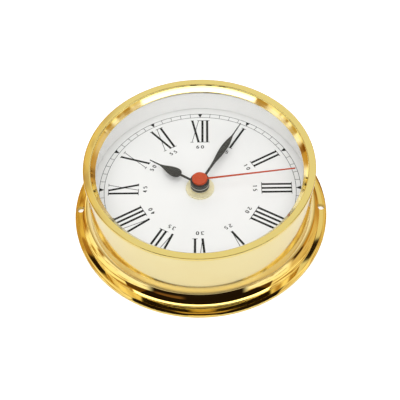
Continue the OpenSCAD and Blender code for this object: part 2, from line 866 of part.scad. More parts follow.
// Bowed leaf on the other end wall, with a strip along the partition to the circuit board
module negative_contact() {
    right = inner_half_w;
    wall_face = right - contact_t;
    bow_r = (pow(contact_w / 2, 2) + pow(leaf_l, 2)) / (2 * leaf_l);
    color(steel) {
        block([wall_face, cell_y - contact_w / 2, cell_z - contact_w / 2],
            [right, cell_y + contact_w / 2, cell_z + contact_w / 2]);
        intersection() {
            translate([wall_face - leaf_l + bow_r, cell_y, 0])
                ring(bow_r, bow_r - contact_t, cell_z - contact_w / 4, cell_z + contact_w / 4);
            block([wall_face - leaf_l - cut, cell_y - contact_w, 0],
                [wall_face, cell_y + contact_w, front_z]);
        }
        block([wall_face, cell_y, board_top], [right, gear_bay_bottom + contact_t, strip_top]);
        block([board_x, gear_bay_bottom, board_top], [right, gear_bay_bottom + contact_t, strip_top]);
        block([board_x, gear_bay_bottom, board_top],
            [board_x + tab_l, board_low + tab_l, board_top + contact_t]);
    }
}

// Magnet of the stepping motor with its pinion
module rotor() {
    pinion_top = step_gear_z + gear_t + tooth_lap;
    color([0.3, 0.3, 0.32]) {
        pinion_at(rotor_module, rotor_teeth, step_gear_z - tooth_lap, pinion_top, rotor_at, step_at);
        at(rotor_at) {
            disc(arbor_d / 2, pivot_z, bridge_top);
            disc(magnet_d / 2, pinion_top, core_z + magnet_proud);
        }
    }
}

module step_wheel() {
    color(nylon) {
        wheel_at(rotor_module, step_teeth, step_gear_z, step_gear_z + gear_t, step_at, rotor_at);
        pinion_at(step_module, step_pinion_teeth, step_gear_z, second_gear_z + gear_t + tooth_lap, step_at,
            centre_at);
        at(step_at)
            disc(arbor_d / 2, pivot_z, bridge_top);
    }
}

// Wheel, pinion and the long arbor that carries the second hand
module second_wheel() {
    color(nylon) {
        wheel_at(step_module, second_teeth, second_gear_z, second_gear_z + gear_t, centre_at, step_at);
        pinion_at(second_module, second_pinion_teeth, second_gear_z, third_gear_z + gear_t + tooth_lap,
            centre_at, third_at);
        disc(second_arbor_d / 2, pivot_z, cap_top - cap_skin);
    }
}

module third_wheel() {
    color(nylon) {
        wheel_at(second_module, third_teeth, third_gear_z, third_gear_z + gear_t, third_at, centre_at);
        pinion_at(third_module, third_pinion_teeth, third_gear_z, centre_gear_z + gear_t + tooth_lap,
            third_at, centre_at);
        at(third_at)
            disc(arbor_d / 2, pivot_z, bridge_top);
    }
}

// Wheel that turns the minute arbor through the friction clutch
module centre_wheel() {
    color(nylon)
        difference() {
            wheel_at(third_module, centre_teeth, centre_gear_z, centre_gear_z + gear_t, centre_at, third_at);
            disc(minute_tube_d / 2 + fit, centre_gear_z - cut, centre_gear_z + gear_t + cut);
        }
}

// Minute hand's tube with the cannon pinion, a journal in the bridge and a shank for the clutch
module minute_arbor() {
    color(pale_brass)
        difference() {
            union() {
                disc(minute_tube_d / 2, collar_z, minute_boss_top - tube_short);
                disc(minute_tube_d / 2 + journal_wall, shoulder_z, bridge_top + slip);
                disc(motion_module * cannon_teeth / 2, bridge_top + slip, motion_gear_z - tooth_lap);
                pinion_at(motion_module, cannon_teeth, motion_gear_z - tooth_lap,
                    motion_gear_z + gear_t + tooth_lap, centre_at, motion_at);
            }
            disc(second_arbor_d / 2 + fit, collar_z - cut, minute_boss_top + cut);
        }
}

module clutch_spring() {
    color(steel)
        ring(minute_tube_d / 2 + spring_w, minute_tube_d / 2 + seat, spring_z, spring_z + spring_t);
}

module clutch_collar() {
    color(pale_brass)
        ring(minute_tube_d / 2 + collar_w, minute_tube_d / 2 + seat, collar_z, spring_z);
}

// Motion wheel and pinion on the arbor that the setting knob turns
module motion_wheel() {
    color(nylon) {
        wheel_at(motion_module, motion_teeth, motion_gear_z, motion_gear_z + gear_t, motion_at, centre_at);
        pinion_at(hour_module, motion_pinion_teeth, motion_gear_z, hour_gear_z + gear_t + tooth_lap,
            motion_at, centre_at);
        at(motion_at)
            disc(motion_arbor_d / 2, knob_z + knob_skin, front_in_z + pivot_l);
    }
}

// Knob behind the movement, fluted for the fingers
module setting_knob() {
    color(black)
        at(motion_at)
            difference() {
                disc(knob_d / 2, knob_z, knob_top);
                disc(motion_arbor_d / 2 + seat, knob_z + knob_skin, knob_top + cut);
                for (i = [0 : knob_flute_count - 1])
                    rotate([0, 0, i * 360 / knob_flute_count])
                        translate([knob_d / 2 + knob_flute_r / 3, 0, 0])
                            disc(knob_flute_r, knob_z - cut, knob_top + cut);
            }
}

module hour_wheel() {
    color(nylon)
        difference() {
            union() {
                wheel_at(hour_module, hour_teeth, hour_gear_z, hour_gear_z + gear_t, centre_at, motion_at);
                disc(hour_tube_d / 2, hour_gear_z, hour_boss_top - tube_short);
            }
            disc(minute_tube_d / 2 + fit, hour_gear_z - cut, hour_boss_top + cut);
        }
}

// Leaf hand on a boss, bored for its tube
module leaf_hand(outline, level, bearing, boss_z, boss_top, tube_d) {
    difference() {
        union() {
            disc(boss_r, boss_z, boss_top);
            hand_blade(outline, level, bearing);
        }
        disc(tube_d / 2 + seat, boss_z - cut, boss_top + cut);
    }
}

module hour_hand() {
    leaf_to = hour_leaf_from + hour_leaf_l;
    outline = hand_outline(hour_len, hour_stem_w, hour_leaf_w, hour_leaf_from, leaf_to, hour_leaf_form);
    color(black)
        leaf_hand(outline, hour_blade_z, hour_at, hour_boss_z, hour_boss_top, hour_tube_d);
}

module minute_hand() {
    leaf_to = minute_leaf_from + minute_leaf_l;
    outline = hand_outline(minute_len, minute_stem_w, minute_leaf_w, minute_leaf_from, leaf_to,
        minute_leaf_form);
    color(black)
        leaf_hand(outline, minute_blade_z, minute_at, minute_boss_z, minute_boss_top, minute_tube_d);
}

// Red needle under a flat cap
module second_hand() {
    root = second_root_w / 2;
    tip = second_tip_w / 2;
    color(signal_red)
        difference() {
            union() {
                disc(cap_d / 2, cap_z, cap_top);
                hand_blade([[0, root], [second_len, tip], [second_len, -tip], [0, -root]], second_blade_z,
                    second_at);
            }
            disc(second_arbor_d / 2 + seat, cap_z - cut, cap_top - cap_skin);
        }
}

case_shell();
bezel_ring();
glass_gasket();
glass_lens();
spacer_ring();
dial_plate();
rear_ring();
back_plate();
back_screws();
fixing_nut();
rubber_washer();
threaded_bushing();
front_housing();
rear_housing();
gear_bridge();
circuit_board();
control_chip();
quartz_crystal();
motor_stator();
motor_core();
coil_bobbin();
drive_coil();
motor_screws();
power_cell();
positive_contact();
negative_contact();
rotor();
step_wheel();
second_wheel();
third_wheel();
centre_wheel();
minute_arbor();
clutch_spring();
clutch_collar();
motion_wheel();
setting_knob();
hour_wheel();
hour_hand();
minute_hand();
second_hand();
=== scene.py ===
"""Marine clock: polished brass case, white dial with Roman hours, black leaf hands and red second hand."""
import json
import math

import bpy
import numpy as np
from mathutils import Matrix, Vector


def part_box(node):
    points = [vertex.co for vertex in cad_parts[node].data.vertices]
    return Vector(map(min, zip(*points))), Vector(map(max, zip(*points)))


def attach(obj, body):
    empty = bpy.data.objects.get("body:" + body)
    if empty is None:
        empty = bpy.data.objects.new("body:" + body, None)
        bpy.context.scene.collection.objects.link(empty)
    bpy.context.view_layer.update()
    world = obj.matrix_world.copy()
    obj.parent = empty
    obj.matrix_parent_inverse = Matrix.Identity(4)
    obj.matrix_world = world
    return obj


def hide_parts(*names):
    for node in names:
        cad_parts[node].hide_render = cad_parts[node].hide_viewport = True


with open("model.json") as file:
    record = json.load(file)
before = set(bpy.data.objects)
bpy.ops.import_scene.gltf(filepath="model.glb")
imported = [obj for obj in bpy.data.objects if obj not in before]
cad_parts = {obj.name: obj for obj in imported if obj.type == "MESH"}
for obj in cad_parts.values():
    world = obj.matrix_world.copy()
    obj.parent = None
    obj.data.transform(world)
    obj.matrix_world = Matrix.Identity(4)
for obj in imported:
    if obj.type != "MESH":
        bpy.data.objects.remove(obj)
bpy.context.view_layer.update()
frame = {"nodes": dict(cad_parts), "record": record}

# Sizes are in millimetres, heights are over the mounting face, bearings run clockwise from XII
MM = 0.001

# Turn in degrees over which an edge stays crisp, on most pieces and on blades, and stops round a small piece
crisp = 40
blade_crisp = 25
round_stops = 128


def heights(node):
    """Lowest and highest level of a node of the frame."""
    low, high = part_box(node)
    return low.z / MM, high.z / MM


# Case
drum_r = 52.2
drum_wall = 0.9
flange_r = 60.0
rim_h = 1.4
rim_lean = 60
flat_w = 2.0
flat_fall = 0.1
dome_w = 1.6
flange_h = 2.1
step_h = 0.5
cove_h = 4.4
cove_lean = 28
cove_flare = 59
drum_foot = flange_h + step_h + cove_h
recess_r = 54.9
case_corner = 0.12
case_bottom, drum_top = heights("case_shell")
back_recess = heights("back_plate")[1]
hole_pattern = frame["record"]["mounts"][0]["dims"]
hole_place = hole_pattern["spacing_x_mm"] / 2
hole_r = hole_pattern["hole_r_mm"]

# Bezel
lip_r = 47.5
lip_t = 0.5
bezel_r = 53.0
bezel_half_w = 1.65
bezel_round_h = 1.0
bezel_square = 12
bezel_foot_w = 0.3
skirt_r = 51.27
skirt_in_r = 50.67
bezel_corner = 0.1
skirt_bottom, bezel_top = heights("bezel_ring")
lip_bottom = heights("glass_gasket")[1]

# Dial, spacer and nut
dial_z = heights("dial_plate")[1]
glass_bottom = heights("glass_lens")[0]
glass_r = 50.57
glass_shelf = 1.0
spacer_r = 51.2
spacer_wall = 0.5
spacer_gap = 0.1
spacer_corner = 0.03
rebate_w = 0.45
rebate_h = 0.45
nut_r = 6.65
nut_bore = 4.05
nut_notches = 24
nut_notch_r = 0.35
nut_notch_stops = 16
nut_corner = 0.15
nut_bottom, nut_top = heights("fixing_nut")

# Print on the dial
ink_t = 0.03
hair_w = 0.27
stroke_w = 1.05
numeral_foot_r = 28.7
numeral_h = 14.3
letter_step = dict(I=2.3, V=4.5, X=4.6)
arm_inset = 0.7
serif_half = 0.75
track_r = 47.2
track_in_r = 44.9
track_w = 0.2
wedge_w = 2.1
wedge_tip_w = 0.12
minute_foot_r = 24.8
minute_h = 1.9
minute_step = 2.3

# Hands
boss_r = 4.4
boss_corner = 0.12
hour_bore_r = 2.5
minute_bore_r = 1.6
rim_shine_h = 0.34
rim_over = 0.04
rim_corner = 0.08
blade_t = 0.5
blade_lap = 0.6
blade_inset = 0.2
point_root_w = 0.6
point_tip_w = 0.3
hour_shape = dict(length=28.1, stem_w=1.1, leaf_w=5.4, leaf_from=10.7, leaf_l=11.8, form=(0.55, 1.5))
minute_shape = dict(length=41.6, stem_w=1.2, leaf_w=3.2, leaf_from=10.4, leaf_l=22.9, form=(2, 1.4))
needle_l = 44.9
needle_root_w = 0.8
needle_tip_w = 0.5
needle_inset = 0.1
cap_r = 3.55
cap_corner = 0.14
cap_dimple = [(0.5, 0), (0.3, 0.12), (0, 0.15)]
hour_low, hour_high = heights("hour_hand")
minute_low, minute_high = heights("minute_hand")
cap_low, cap_high = heights("second_hand")
hour_at, minute_at, second_at = 302.4, 28.4, 82.4


class Value:
    """A socket of a node tree. Arithmetic with it adds Math nodes to the tree."""

    def __init__(self, nodes, socket):
        self.nodes = nodes
        self.socket = socket

    def output(self, name):
        """Another output of the same node."""
        return Value(self.nodes, self.socket.node.outputs[name])

    def __add__(self, other):
        return self.nodes.math("ADD", self, other)

    def __sub__(self, other):
        return self.nodes.math("SUBTRACT", self, other)

    def __rsub__(self, other):
        return self.nodes.math("SUBTRACT", other, self)

    def __mul__(self, other):
        return self.nodes.math("MULTIPLY", self, other)

    def __truediv__(self, other):
        return self.nodes.math("DIVIDE", self, other)

    def __rtruediv__(self, other):
        return self.nodes.math("DIVIDE", other, self)

    def __pow__(self, other):
        return self.nodes.math("POWER", self, other)

    def __rpow__(self, other):
        return self.nodes.math("POWER", other, self)

    def __neg__(self):
        return self * -1

    __radd__ = __add__
    __rmul__ = __mul__


class Nodes:
    """A node tree, emptied and filled anew."""

    def __init__(self, tree):
        self.tree = tree
        tree.nodes.clear()

    def add(self, kind, settings=None, sockets=None, out=0):
        """Adds one node: its settings first, then its sockets, each a number, a colour or a Value."""
        node = self.tree.nodes.new(kind)
        for name, setting in (settings or {}).items():
            setattr(node, name, setting)
        for name, entry in (sockets or {}).items():
            if isinstance(entry, Value):
                self.tree.links.new(entry.socket, node.inputs[name])
            else:
                node.inputs[name].default_value = entry
        return Value(self, node.outputs[out]) if len(node.outputs) else None

    def math(self, operation, *entries):
        return self.add("ShaderNodeMath", {"operation": operation}, dict(enumerate(entries)))

    def place(self):
        """Object coordinates in millimetres."""
        here = self.add("ShaderNodeTexCoord", out="Object")
        return self.add("ShaderNodeVectorMath", {"operation": "SCALE"}, {0: here, "Scale": 1 / MM})

    def parts(self, vector):
        x = self.add("ShaderNodeSeparateXYZ", None, {0: vector})
        return x, x.output("Y"), x.output("Z")

    def vector(self, x, y, z):
        return self.add("ShaderNodeCombineXYZ", None, {0: x, 1: y, 2: z})

    def reach(self, x, y):
        """Distance from the hands' axis."""
        return (x * x + y * y) ** 0.5

    def angle(self, ahead, aside):
        """Angle of a direction with these parts, 0 straight ahead."""
        return self.math("ARCTAN2", aside, ahead)

    def noise(self, vector, scale, detail=2.0, rough=0.5):
        sockets = {"Vector": vector, "Scale": scale, "Detail": detail, "Roughness": rough}
        return self.add("ShaderNodeTexNoise", None, sockets)

    def spread(self, entry, low, high, to_low=0.0, to_high=1.0):
        """Smooth step of a value from one span to another."""
        sockets = {0: entry, 1: low, 2: high, 3: to_low, 4: to_high}
        return self.add("ShaderNodeMapRange", {"interpolation_type": "SMOOTHSTEP"}, sockets)

    def above(self, entry, limit, soft):
        """0 to 1 where a value passes a limit."""
        return self.spread(entry, limit - soft, limit + soft)

    def within(self, entry, low, high, soft):
        """1 between two limits, 0 outside them."""
        return self.above(entry, low, soft) * (1 - self.above(entry, high, soft))

    def mix(self, share, first, second):
        """Colour that goes from the first to the second as the share goes from 0 to 1."""
        return self.add("ShaderNodeMix", {"data_type": "RGBA"}, {0: share, 6: first, 7: second}, 2)

    def laid(self, tone, layers):
        """Colour with others laid over it in turn, each where its share is 1."""
        for share, over in layers:
            tone = self.mix(share, tone, over)
        return tone

    def bump(self, height, strength, distance):
        """Normal of a relief whose depth is in millimetres."""
        sockets = {"Strength": strength, "Distance": distance * MM, "Height": height}
        return self.add("ShaderNodeBump", None, sockets)

    def coat(self, **sockets):
        """The surface shader. An underscore in a socket's name stands for a space."""
        named = {name.replace("_", " "): entry for name, entry in sockets.items()}
        return self.add("ShaderNodeBsdfPrincipled", None, named)


def seen(red, green, blue):
    """Linear colour of a tone as it is seen, each part from 0 to 255: the usual display curve undone."""
    tone = np.array([red, green, blue]) / 255
    linear = np.where(tone > 0.04045, ((tone + 0.055) / 1.055) ** 2.4, tone / 12.92)
    return (*linear.tolist(), 1.0)


def finish(name, build):
    """A material from a function that returns its surface shader."""
    material = bpy.data.materials.new(name)
    material.use_nodes = True
    nodes = Nodes(material.node_tree)
    nodes.add("ShaderNodeOutputMaterial", None, {"Surface": build(nodes)})
    return material


def polished_brass(n):
    """Lacquered brass with hair-fine turning lines and faint smudges.

    It is deeper on the flange, paler on the drum and duller towards the drum's foot.
    """
    flange_tone = (0.86, 0.64, 0.17, 1)
    drum_tone = (0.88, 0.76, 0.40, 1)
    bezel_tone = (0.87, 0.71, 0.24, 1)
    smudge_tone = (0.80, 0.58, 0.20, 1)
    place = n.place()
    x, y, z = n.parts(place)
    lines = n.noise(n.vector(n.reach(x, y), z, n.angle(x, y) * 2), 6.0, 3.0, 0.6)
    smudge = n.noise(place, 0.07, 3.0)
    tone = n.mix(n.spread(z, drum_foot - 3.8, drum_foot + 1.5), flange_tone, drum_tone)
    tone = n.mix(n.above(z, drum_top, 0.4), tone, bezel_tone)
    tone = n.mix(n.spread(smudge, 0.35, 0.75, 0.0, 0.12), tone, smudge_tone)
    drum = n.spread(z, drum_foot - 0.1, drum_foot + 0.4) * (1 - n.spread(z, drum_top - 0.4, drum_top))
    foot = drum * (1 - n.spread(z, drum_foot + 4, drum_foot + 6.5))
    rough = 0.02 + smudge * 0.02 + lines * 0.01 + drum * 0.06 + foot * 0.3
    return n.coat(Base_Color=tone, Metallic=1.0, Roughness=rough, Coat_Weight=0.35, Coat_Roughness=0.03,
                  Normal=n.bump(lines, 0.04, 0.01))


def turned_brass(n):
    """Pale brass faced on a lathe, with short scratches that run outwards."""
    place = n.place()
    x, y, z = n.parts(place)
    scratch = n.noise(n.vector(n.angle(x, y) * 9, n.reach(x, y) * 0.35, z * 0.2), 3.0, 4.0, 0.65)
    cloud = n.noise(place, 0.5, 2.0)
    tone = n.mix(n.spread(scratch, 0.5, 0.72), seen(243, 236, 196), seen(186, 164, 98))
    tone = n.mix(cloud * 0.3, tone, seen(250, 246, 226))
    return n.coat(Base_Color=tone, Metallic=0.35, Roughness=0.3 + scratch * 0.2,
                  Normal=n.bump(scratch, 0.25, 0.05))


def clear_glass(n):
    """Clear pane: a mirror as strong as its reflection at each angle, see-through for the rest."""
    facing = n.add("ShaderNodeLayerWeight", None, {"Blend": 0.5}, "Facing")
    smear = n.noise(n.place(), 0.05, 3.0)
    shine = 0.006 + 0.9 * facing ** 5
    return n.coat(Base_Color=(1, 1, 1, 1), Metallic=1.0, Roughness=smear * 0.02, Alpha=shine)


def dial_paint(n):
    """Satin white paint with a trace of orange peel."""
    place = n.place()
    cloud = n.noise(place, 0.06, 2.0)
    peel = n.noise(place, 3.0, 2.0)
    tone = n.mix(cloud, (0.81, 0.815, 0.805, 1), (0.84, 0.845, 0.835, 1))
    return n.coat(Base_Color=tone, Roughness=0.42 + peel * 0.1, Normal=n.bump(peel, 0.06, 0.02))


def white_moulding(n):
    """Satin white plastic, a little paler than the dial."""
    place = n.place()
    cloud = n.noise(place, 0.1, 2.0)
    grain = n.noise(place, 8.0, 2.0)
    tone = n.mix(cloud, (0.90, 0.90, 0.89, 1), (0.93, 0.93, 0.92, 1))
    return n.coat(Base_Color=tone, Roughness=0.45 + grain * 0.12, Normal=n.bump(grain, 0.08, 0.02))


def printing_ink(n):
    """Black print, slightly uneven in the way a pad lays it down."""
    place = n.place()
    patch = n.noise(place, 1.5, 3.0)
    tone = n.mix(patch, (0.006, 0.006, 0.006, 1), (0.018, 0.018, 0.017, 1))
    return n.coat(Base_Color=tone, Roughness=0.6 + patch * 0.2, Specular_IOR_Level=0.25)


def satin_black(n):
    """Black paint on the hands with a soft sheen."""
    place = n.place()
    patch = n.noise(place, 0.6, 3.0)
    grain = n.noise(place, 12.0, 2.0)
    tone = n.mix(patch, (0.026, 0.027, 0.025, 1), (0.042, 0.043, 0.040, 1))
    return n.coat(Base_Color=tone, Roughness=0.42 + patch * 0.12, Specular_IOR_Level=0.4,
                  Normal=n.bump(grain, 0.06, 0.01))


def satin_red(n):
    """Orange-red paint on the second hand."""
    place = n.place()
    patch = n.noise(place, 0.9, 3.0)
    tone = n.mix(patch, (0.43, 0.045, 0.007, 1), (0.53, 0.066, 0.014, 1))
    return n.coat(Base_Color=tone, Roughness=0.45 + patch * 0.15, Specular_IOR_Level=0.3)


def bright_rim(n):
    """Bare turned metal on the lower edge of a boss."""
    x, y, z = n.parts(n.place())
    lines = n.noise(n.vector(x * 0.2, y * 0.2, z * 9), 2.0, 3.0)
    tone = n.mix(lines, (0.70, 0.70, 0.68, 1), (0.86, 0.86, 0.84, 1))
    return n.coat(Base_Color=tone, Metallic=1.0, Roughness=0.22 + lines * 0.15)


def black_moulding(n):
    """Black plastic with the fine spark grain of a mould."""
    place = n.place()
    grain = n.noise(place, 5.0, 3.0, 0.6)
    cloud = n.noise(place, 0.12, 2.0)
    tone = n.mix(cloud, (0.016, 0.016, 0.018, 1), (0.032, 0.032, 0.034, 1))
    return n.coat(Base_Color=tone, Roughness=0.42 + grain * 0.22, Normal=n.bump(grain, 0.3, 0.06))


def seal_rubber(n):
    """Matt black rubber with a dusty bloom."""
    place = n.place()
    bloom = n.noise(place, 0.8, 4.0)
    tone = n.mix(bloom, (0.018, 0.018, 0.018, 1), (0.045, 0.044, 0.042, 1))
    return n.coat(Base_Color=tone, Roughness=0.75 + bloom * 0.15, Normal=n.bump(bloom, 0.2, 0.05))


def gear_nylon(n):
    """Natural nylon: milky, with flow marks."""
    place = n.place()
    flow = n.noise(place, 0.5, 3.0)
    tone = n.mix(flow, (0.66, 0.66, 0.58, 1), (0.78, 0.77, 0.70, 1))
    return n.coat(Base_Color=tone, Roughness=0.4 + flow * 0.15, Normal=n.bump(flow, 0.1, 0.05))


def plated_steel(n):
    """Nickel-plated steel with a fine brushed grain along X."""
    x, y, z = n.parts(n.place())
    grain = n.noise(n.vector(x * 0.2, y * 4, z * 4), 3.0, 3.0, 0.6)
    tone = n.mix(grain, (0.52, 0.53, 0.54, 1), (0.72, 0.72, 0.72, 1))
    return n.coat(Base_Color=tone, Metallic=1.0, Roughness=0.24 + grain * 0.18,
                  Normal=n.bump(grain, 0.12, 0.02))


def wound_copper(n):
    """Enamelled copper wire: each turn is a ridge across the coil's length."""
    sockets = {"Vector": n.place(), "Scale": 1.4, "Distortion": 0.4}
    turn = n.add("ShaderNodeTexWave", {"bands_direction": "X"}, sockets, "Fac")
    tone = n.mix(turn, (0.30, 0.09, 0.03, 1), (0.72, 0.30, 0.12, 1))
    return n.coat(Base_Color=tone, Metallic=0.9, Roughness=0.3 + turn * 0.1, Normal=n.bump(turn, 0.6, 0.1))


def board_resin(n):
    """Green circuit board with the weave of the glass cloth just showing and paler runs of track."""
    place = n.place()
    x, y = n.parts(place)[:2]
    weave = n.math("SINE", x * 9) * n.math("SINE", y * 9)
    sockets = {"Vector": place, "Scale": 0.35}
    runs = n.add("ShaderNodeTexVoronoi", {"feature": "DISTANCE_TO_EDGE"}, sockets, "Distance")
    tone = n.mix(n.spread(runs, 0.05, 0.12), (0.03, 0.16, 0.07, 1), (0.012, 0.09, 0.04, 1))
    return n.coat(Base_Color=tone, Roughness=0.35 + weave * 0.05, Normal=n.bump(weave, 0.1, 0.02))


def cell_jacket(n):
    """Round cell along X: grey foil jacket with a plain copper band at one end, bare steel caps."""
    band_l, cap_l, base_l = 15.0, 2.5, 0.8
    low, high = (corner.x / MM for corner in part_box("power_cell"))
    x, y, z = n.parts(n.place())
    foil = n.noise(n.vector(x * 0.3, y * 3, z * 3), 1.5, 3.0)
    band = n.above(x, high - band_l, 0.2)
    cap = n.above(x, high - cap_l, 0.1) + (1 - n.above(x, low + base_l, 0.1))
    tone = n.mix(band, (0.10, 0.105, 0.115, 1), (0.55, 0.27, 0.10, 1))
    tone = n.mix(cap, tone, (0.66, 0.66, 0.67, 1))
    return n.coat(Base_Color=tone, Metallic=0.85, Roughness=0.26 + foil * 0.2,
                  Normal=n.bump(foil, 0.05, 0.02))


brass = finish("polished_brass", polished_brass)
pale_brass = finish("turned_brass", turned_brass)
ink = finish("printing_ink", printing_ink)
black_paint = finish("satin_black", satin_black)
red_paint = finish("satin_red", satin_red)
rim_metal = finish("bright_rim", bright_rim)
white_plastic = finish("white_moulding", white_moulding)
finishes = dict(
    case_brass=brass,
    pale_brass=pale_brass,
    glass=finish("clear_glass", clear_glass),
    seal_rubber=finish("seal_rubber", seal_rubber),
    white_plastic=white_plastic,
    dial_white=finish("dial_paint", dial_paint),
    hand_black=black_paint,
    hand_red=red_paint,
    black_plastic=finish("black_moulding", black_moulding),
    gear_nylon=finish("gear_nylon", gear_nylon),
    bright_steel=finish("plated_steel", plated_steel),
    coil_copper=finish("wound_copper", wound_copper),
    board_resin=finish("board_resin", board_resin),
    cell_jacket=finish("cell_jacket", cell_jacket),
)
for part in frame["record"]["subparts"]:
    node = frame["nodes"][part["node"]]
    node.data.materials.clear()
    node.data.materials.append(finishes[part["material_slot"]])


def carried(rings, closed):
    """Skin of a closed section carried along a path: rings[i, j] is point j of the section at stop i.

    Each cell joins stops i and i + 1 at points j and j + 1. An open path gets its two ends as caps.
    """
    stops, points = rings.shape[:2]
    index = np.arange(stops * points).reshape(stops, points)
    here = index if closed else index[:-1]
    ahead = np.roll(index, -1, 0) if closed else index[1:]
    cells = np.stack([here, ahead, np.roll(ahead, -1, 1), np.roll(here, -1, 1)], -1)
    faces = cells.reshape(-1, 4).tolist()
    if not closed:
        faces += [index[0].tolist(), index[-1, ::-1].tolist()]
    return rings.reshape(-1, 3), faces


def joined(skins):
    """Several skins as one, the point numbers of each moved past those before it."""
    points, faces, count = [], [], 0
    for skin_points, skin_faces in skins:
        points.append(skin_points)
        faces += [[corner + count for corner in face] for face in skin_faces]
        count += len(skin_points)
    return np.concatenate(points), faces


def piece(name, skin, body, material, replaced=(), sharp=crisp):
    """A mesh object of the skin, riding on a body. Edges that turn by over sharp degrees stay crisp."""
    points, faces = skin
    mesh = bpy.data.meshes.new(name)
    mesh.from_pydata(points * MM, [], faces)
    made = bpy.data.objects.new(name, mesh)
    bpy.context.scene.collection.objects.link(made)
    weld = made.modifiers.new("weld", "WELD")
    weld.merge_threshold = 1e-3 * MM
    settle(made)
    made.data.materials.append(material)
    shade(made, sharp)
    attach(made, body)
    if replaced:
        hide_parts(*replaced)
    return made


def settle(made):
    """Applies an object's modifiers to its mesh."""
    bpy.context.view_layer.update()
    whole = made.evaluated_get(bpy.context.evaluated_depsgraph_get())
    mesh = bpy.data.meshes.new_from_object(whole)
    old = made.data
    made.modifiers.clear()
    made.data = mesh
    mesh.name = made.name
    bpy.data.meshes.remove(old)


def shade(made, sharp):
    """Smooth shading, but for edges that turn by over sharp degrees."""
    made.data.shade_smooth()
    made.data.set_sharp_from_angle(angle=math.radians(sharp))


def softened(profile, radius, steps=5):
    """Profile with its corners rounded.

    Each corner P that turns by more than 15 degrees becomes the curve (1-t)^2 A + 2t(1-t) P + t^2 B between
    the points A and B that lie the radius away on its two edges. A point further out on each edge keeps the
    long faces flat. Gentler corners stay as they are.
    """
    gentle, further, half_edge = 15, 2.5, 0.49
    corners = np.asarray(profile, float)
    t = np.linspace(0, 1, steps)[:, None, None]
    sides, ways = [], []
    for neighbour in (np.roll(corners, 1, 0), np.roll(corners, -1, 0)):
        edge = neighbour - corners
        length = np.linalg.norm(edge, axis=1, keepdims=True)
        shares = [np.minimum(reach / length, half_edge) for reach in (radius, further * radius)]
        sides.append([corners + edge * share for share in shares])
        ways.append(edge / length)
    (before, far_before), (after, far_after) = sides
    curve = (1 - t) ** 2 * before + 2 * t * (1 - t) * corners + t ** 2 * after
    points = np.concatenate([far_before[None], curve, far_after[None]]).swapaxes(0, 1)
    real = -(ways[0] * ways[1]).sum(1) < math.cos(math.radians(gentle))
    points[~real] = corners[~real, None]
    return points[real[:, None] | (np.arange(points.shape[1]) == 0)]


def turned(profile, stops=360, radius_at=None):
    """Profile turned about the hands' axis: (r, z) becomes (r cos a, r sin a, z) at each angle a.

    radius_at, where given, limits the radius at each angle.
    """
    profile = np.asarray(profile, float)
    angle = np.linspace(0, 2 * np.pi, stops, endpoint=False)[:, None]
    radius = np.broadcast_to(profile[:, 0], (stops, len(profile)))
    if radius_at is not None:
        radius = np.minimum(radius, radius_at(angle))
    level = np.broadcast_to(profile[:, 1], radius.shape)
    return carried(np.stack([radius * np.cos(angle), radius * np.sin(angle), level], -1), True)


def arc(centre, half_w, half_h, start, end, steps=16):
    """Points of an ellipse, centre + (half_w cos a, half_h sin a), from one angle to another in degrees."""
    angle = np.radians(np.linspace(start, end, steps))
    return np.stack([centre[0] + half_w * np.cos(angle), centre[1] + half_h * np.sin(angle)], -1)


def bend(start, turn, end, steps=16):
    """Curve (1-t)^2 start + 2t(1-t) turn + t^2 end, which leaves and arrives along the lines to turn."""
    t = np.linspace(0, 1, steps)[:, None]
    return (1 - t) ** 2 * np.array(start) + 2 * t * (1 - t) * np.array(turn) + t ** 2 * np.array(end)


def bar(left, right, low, high, closed=False):
    """Flat bar between two edge lines.

    The section left-low, right-low, right-high, left-high is carried along them.
    """
    left, right = np.asarray(left, float), np.asarray(right, float)
    rings = np.empty((len(left), 4, 3))
    rings[:, [0, 3], :2] = left[:, None]
    rings[:, [1, 2], :2] = right[:, None]
    rings[:, :2, 2] = low
    rings[:, 2:, 2] = high
    return carried(rings, closed)


def swung(skin, bearing):
    """Skin turned clockwise from XII to a bearing b: x cos b + y sin b and y cos b - x sin b."""
    points, faces = skin
    b = math.radians(bearing)
    turn = np.array([[math.cos(b), math.sin(b), 0], [-math.sin(b), math.cos(b), 0], [0, 0, 1]])
    return points @ turn.T, faces


# Case
def leaning_bend(foot, foot_lean, head, head_lean):
    """Bend from foot to head whose ends lean from the upright by the given degrees.

    Its turning point is where the two leaning lines cross.
    """
    out, down = foot[0] - head[0], head[1] - foot[1]
    slope_head, slope_foot = (math.tan(math.radians(lean)) for lean in (head_lean, foot_lean))
    drop = (down * slope_foot - out) / (slope_foot - slope_head)
    return bend(foot, (head[0] + drop * slope_head, head[1] - drop), head, steps=24)


def case_profile():
    """Outline of drum, hollow, step and flange, walked with the metal on the left."""
    bore_r = drum_r - drum_wall
    flat_r = flange_r - dome_w
    step_r = flat_r - flat_w
    flat_lean = math.degrees(math.atan(flat_w / flat_fall))
    return np.concatenate([
        [(recess_r, case_bottom), (flange_r, case_bottom)],
        leaning_bend((flange_r, rim_h), rim_lean, (flat_r, flange_h - flat_fall), flat_lean),
        [(step_r, flange_h)],
        leaning_bend((step_r, flange_h + step_h), cove_flare, (drum_r, drum_foot), cove_lean),
        [(drum_r, drum_top), (bore_r, drum_top), (bore_r, back_recess), (recess_r, back_recess)],
    ])


def hole_cutter():
    """Two upright pins at the mounting holes."""
    ring = arc((0, 0), hole_r, hole_r, 0, 360, steps=49)[:-1]
    rings = np.empty((2, len(ring), 3))
    rings[:, :, :2] = ring[:, ::-1]
    rings[:, :, 2] = [[case_bottom - 1], [flange_h + cove_h]]
    points, faces = carried(rings, False)
    return joined([(points + (side * hole_place, 0, 0), faces) for side in (-1, 1)])


